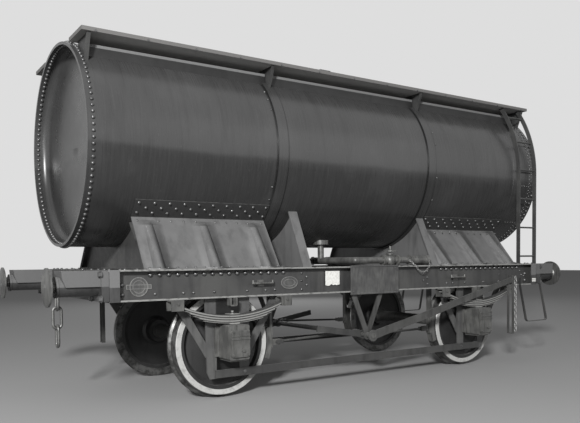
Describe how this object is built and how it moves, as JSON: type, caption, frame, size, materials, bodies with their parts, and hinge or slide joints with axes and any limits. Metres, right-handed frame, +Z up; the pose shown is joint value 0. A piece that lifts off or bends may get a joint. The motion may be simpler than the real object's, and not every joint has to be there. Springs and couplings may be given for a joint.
{
  "type": "two-axle railway tank car",
  "caption": "Riveted railway tank car: barrel on cradles and slanting side plates over a channel underframe, with wheelsets, leaf springs, buffers, lever brake, walkways and ladder.",
  "frame": {"origin": "on the floor under the middle of the car, midway between the buffers and between the sides", "axes": "+X along the car towards the right end, +Y across it towards the far side, +Z up"},
  "size_m": [6.344, 2.304, 3.3593],
  "materials": {
    "tank_paint": "gloss grey-black paint on riveted plate",
    "side_plate_paint": "mid grey paint on pressed plate",
    "frame_paint": "satin black paint on rolled steel",
    "running_gear_iron": "painted cast and forged iron, oily",
    "wheel_paint": "black paint on wheel centres",
    "tyre_steel": "bright worn tread, white painted rim",
    "bright_steel": "worn steel",
    "plank_wood": "weathered plank, painted edge",
    "valve_metal": "cast valve bodies",
    "plate_iron": "cast plate, blank"
  },
  "bodies": {
    "underframe_and_tank": {"axle_guards_far": "frame_paint", "axle_guards_near": "frame_paint", "axleboxes_far": "running_gear_iron", "axleboxes_near": "running_gear_iron", "brake_blocks": "running_gear_iron", "brake_cranks": "frame_paint", "brake_hangers": "frame_paint", "brake_levers": "frame_paint", "brake_shaft": "running_gear_iron", "buffer_guides": "frame_paint", "buffer_heads": "bright_steel", "corner_plates": "frame_paint", "couplings": "bright_steel", "cradles": "side_plate_paint", "cross_bearers": "frame_paint", "drawhooks": "bright_steel", "end_cradles": "frame_paint", "filler_neck": "tank_paint", "headstock_left": "frame_paint", "headstock_right": "frame_paint", "horse_hooks": "bright_steel", "label_clips": "plate_iron", "ladders": "frame_paint", "lever_guards": "frame_paint", "lid_hinge_pin": "bright_steel", "middle_bearers": "frame_paint", "notice_plates": "plate_iron", "outlet_wheels": "valve_metal", "outlets": "valve_metal", "push_rods": "frame_paint", "register_plates": "plate_iron", "side_plates_far": "side_plate_paint", "side_plates_near": "side_plate_paint", "solebar_far": "frame_paint", "solebar_near": "frame_paint", "spring_shoes": "running_gear_iron", "springs_far": "running_gear_iron", "springs_near": "running_gear_iron", "steps": "frame_paint", "tank_barrel": "tank_paint", "tank_end_left": "tank_paint", "tank_end_right": "tank_paint", "tank_straps": "tank_paint", "tie_bars": "frame_paint", "walkway_angles": "frame_paint", "walkway_brackets": "frame_paint", "walkway_far": "plank_wood", "walkway_near": "plank_wood"},
    "wheelset_left": {"axle_left": "running_gear_iron", "tyres_left": "tyre_steel", "wheels_left": "wheel_paint"},
    "wheelset_right": {"axle_right": "running_gear_iron", "tyres_right": "tyre_steel", "wheels_right": "wheel_paint"},
    "filler_lid_body": {"filler_lid": "tank_paint"}
  },
  "joints": [
    {"name": "wheelset_left_roll", "type": "hinge", "parent": "underframe_and_tank", "child": "wheelset_left", "pos_m": [-1.6, 0, 0.498], "axis": [0, 1, 0], "continuous": true},
    {"name": "wheelset_right_roll", "type": "hinge", "parent": "underframe_and_tank", "child": "wheelset_right", "pos_m": [1.6, 0, 0.498], "axis": [0, 1, 0], "continuous": true},
    {"name": "filler_lid_hinge", "type": "hinge", "parent": "underframe_and_tank", "child": "filler_lid_body", "pos_m": [0, 0.262, 3.323], "axis": [-1, 0, 0], "range_deg": [0, 105]}
  ]
}
